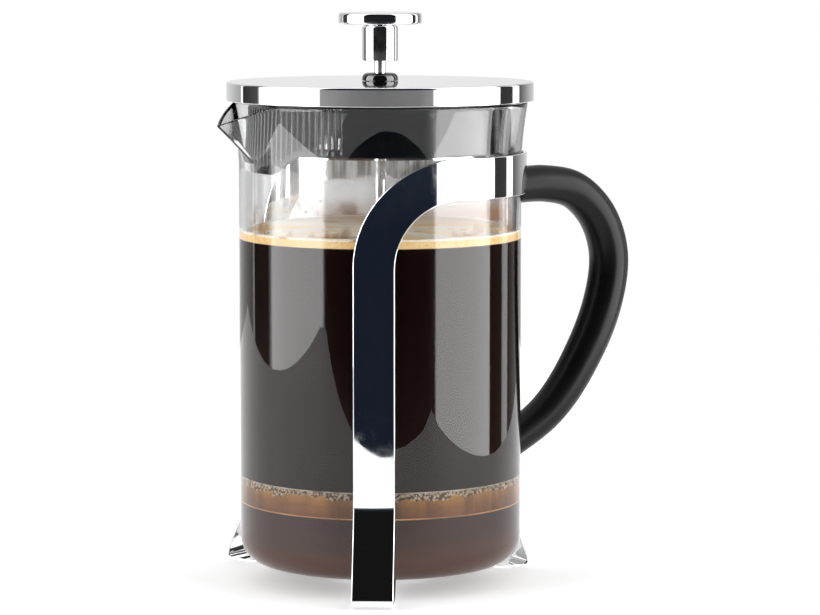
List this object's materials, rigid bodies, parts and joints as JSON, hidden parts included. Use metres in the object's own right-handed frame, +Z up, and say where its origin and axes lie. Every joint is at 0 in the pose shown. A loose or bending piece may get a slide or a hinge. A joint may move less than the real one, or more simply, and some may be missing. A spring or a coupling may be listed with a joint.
{
  "type": "french press",
  "caption": "Glass plunger coffee maker with a spouted beaker in a polished steel strap frame, a black loop handle, a strainer lid and a pressed filter.",
  "frame": {"origin": "middle of the object's box on the floor plane, under the feet", "axes": "+Z up; +X towards the handle, -X towards the spout"},
  "size_m": [0.1626, 0.122, 0.2015],
  "materials": {
    "clear_glass": "clear, thin-walled",
    "polished_steel": "mirror polished stainless steel",
    "satin_steel": "plain bright stainless steel",
    "spring_steel": "drawn steel wire",
    "mesh_steel": "fine woven wire",
    "black_plastic": "matt black moulded",
    "dark_plastic": "glossy black moulded",
    "bushing_plastic": "glossy black moulded",
    "coffee": "brewed coffee, a liquid",
    "crema": "fine coffee foam"
  },
  "bodies": {
    "frame": {"frame_band": "polished_steel", "handle_leg_strap": "polished_steel", "hub_plate": "satin_steel", "hub_rivet_1": "satin_steel", "hub_rivet_2": "satin_steel", "hub_rivet_3": "satin_steel", "handle": "black_plastic", "handle_upper_screw": "satin_steel", "handle_lower_screw": "satin_steel"},
    "beaker": {"beaker": "clear_glass"},
    "lid_bushing": {"lid_bushing": "bushing_plastic", "bushing_nut": "satin_steel"},
    "lid": {"lid_cover": "polished_steel", "strainer_insert": "dark_plastic"},
    "plunger_rod": {"plunger_rod": "polished_steel"},
    "plunger_head": {"knob_disc": "polished_steel", "knob_barrel": "polished_steel", "filter_lock_nut": "satin_steel", "spring_plate": "satin_steel", "edge_spring": "spring_steel", "filter_mesh": "mesh_steel", "cross_plate": "satin_steel", "cross_plate_hub": "satin_steel"}
  },
  "joints": [
    {"name": "beaker_lift", "type": "slide", "parent": "frame", "child": "beaker", "axis": [0, 0, 1], "range_m": [0, 0.19]},
    {"name": "lid_lift", "type": "slide", "parent": "beaker", "child": "lid_bushing", "axis": [0, 0, 1], "range_m": [0, 0.175]},
    {"name": "lid_turn", "type": "hinge", "parent": "lid_bushing", "child": "lid", "pos_m": [-0.0187, 0, 0.17], "axis": [0, 0, 1], "continuous": true},
    {"name": "plunger_press", "type": "slide", "parent": "lid_bushing", "child": "plunger_rod", "axis": [0, 0, 1], "range_m": [-0.004, 0.108]},
    {"name": "plunger_turn", "type": "hinge", "parent": "plunger_rod", "child": "plunger_head", "pos_m": [-0.0187, 0, 0.1], "axis": [0, 0, 1], "continuous": true}
  ]
}
